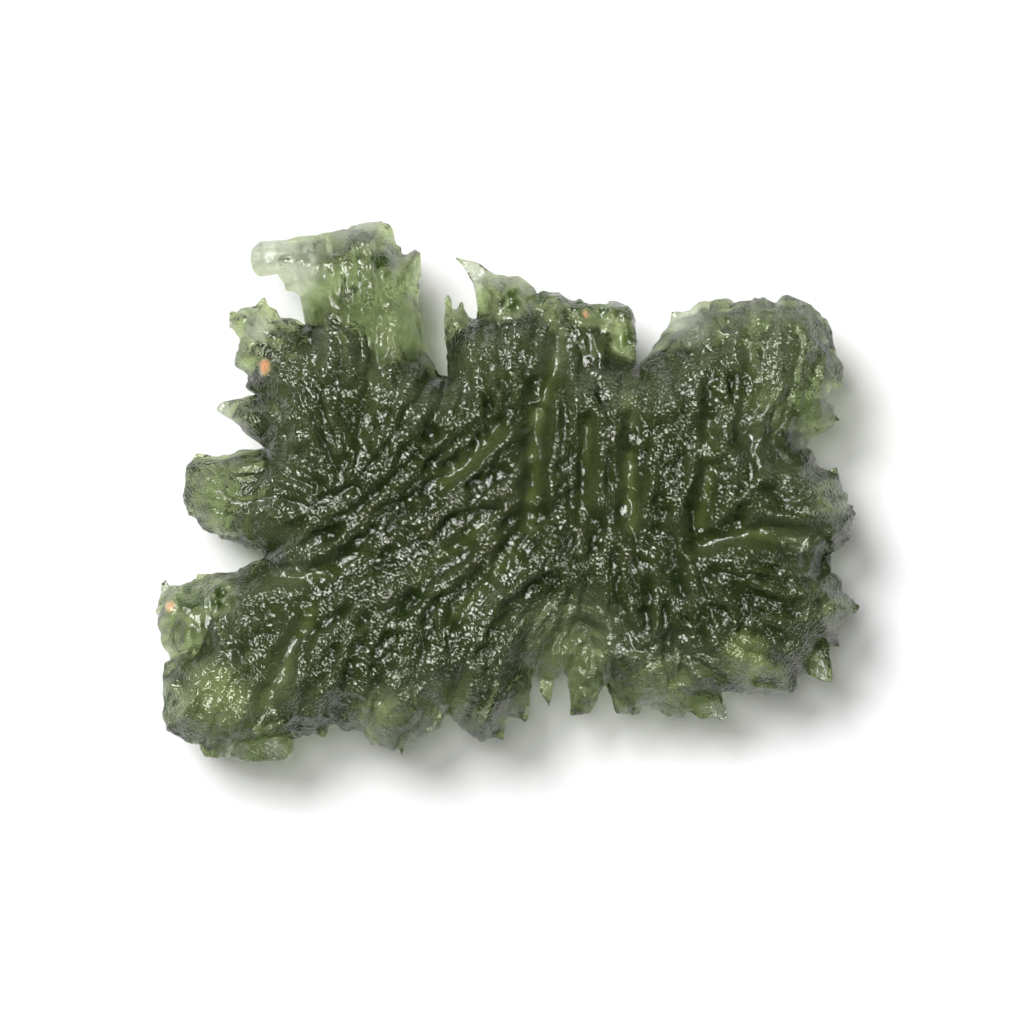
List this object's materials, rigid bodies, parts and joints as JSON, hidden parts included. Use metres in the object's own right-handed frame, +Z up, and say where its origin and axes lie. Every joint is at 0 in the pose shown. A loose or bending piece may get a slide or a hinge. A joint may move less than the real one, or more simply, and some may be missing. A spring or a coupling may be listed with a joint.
{
  "type": "moldavite",
  "caption": "Natural green tektite glass, a flattened piece etched into ridges and furrows, with a lobed, toothed rim; a loose mineral specimen that rests on a flat surface.",
  "frame": {"origin": "centre of the stone's bounding box at the level of its worn foot, on the surface it rests on", "axes": "+X along the stone's length towards its two dark lobes, +Y towards the hooked flap and the slot, +Z up"},
  "size_m": [0.035, 0.0268, 0.0079],
  "materials": {
    "tektite_glass": "natural bottle-green glass, see-through where thin, with an etched, pitted and ridged skin"
  },
  "bodies": {
    "root": {"moldavite": "tektite_glass"}
  },
  "joints": []
}
